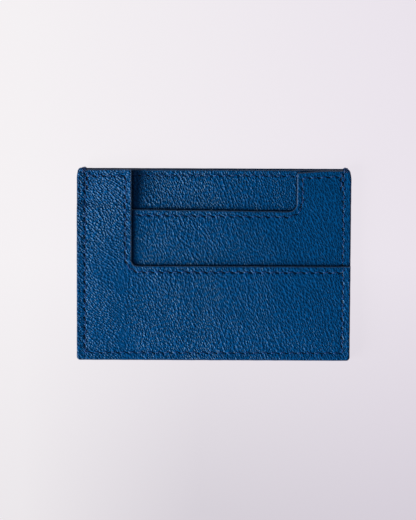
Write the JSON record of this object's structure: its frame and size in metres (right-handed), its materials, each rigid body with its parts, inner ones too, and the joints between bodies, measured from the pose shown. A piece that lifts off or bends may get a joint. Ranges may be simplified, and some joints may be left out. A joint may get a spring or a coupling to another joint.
{
  "type": "card holder",
  "caption": "Slim flat card holder in pebbled leather, open at the top, with stepped L-shaped pocket mouths, hem-stitched and painted edges.",
  "frame": {"origin": "middle of the back face, under the middle of the outline", "axes": "+Z out of the front face, +Y towards the open pocket mouths, +X to the right of someone looking at the front"},
  "size_m": [0.1, 0.0704, 0.0041],
  "materials": {
    "leather": "fine pebbled grain, low sheen",
    "lining": "fine plain weave, matt",
    "thread": "twisted polyester sewing thread",
    "edge_paint": "satin leather edge paint"
  },
  "bodies": {
    "root": {"back_panel": "leather", "back_lining": "lining", "base_panel": "leather", "base_lining": "lining", "mid_pocket": "leather", "mid_lining": "lining", "front_pocket": "leather", "front_lining": "lining", "outer_edge_paint": "edge_paint", "back_edge_paint": "edge_paint", "base_edge_paint": "edge_paint", "mid_edge_paint": "edge_paint", "front_edge_paint": "edge_paint", "perimeter_needle_thread": "thread", "perimeter_bobbin_thread": "thread", "front_hem_needle_thread": "thread", "front_hem_bobbin_thread": "thread", "mid_hem_needle_thread": "thread", "mid_hem_bobbin_thread": "thread", "base_hem_needle_thread": "thread", "base_hem_bobbin_thread": "thread", "back_hem_needle_thread": "thread", "back_hem_bobbin_thread": "thread"}
  },
  "joints": []
}
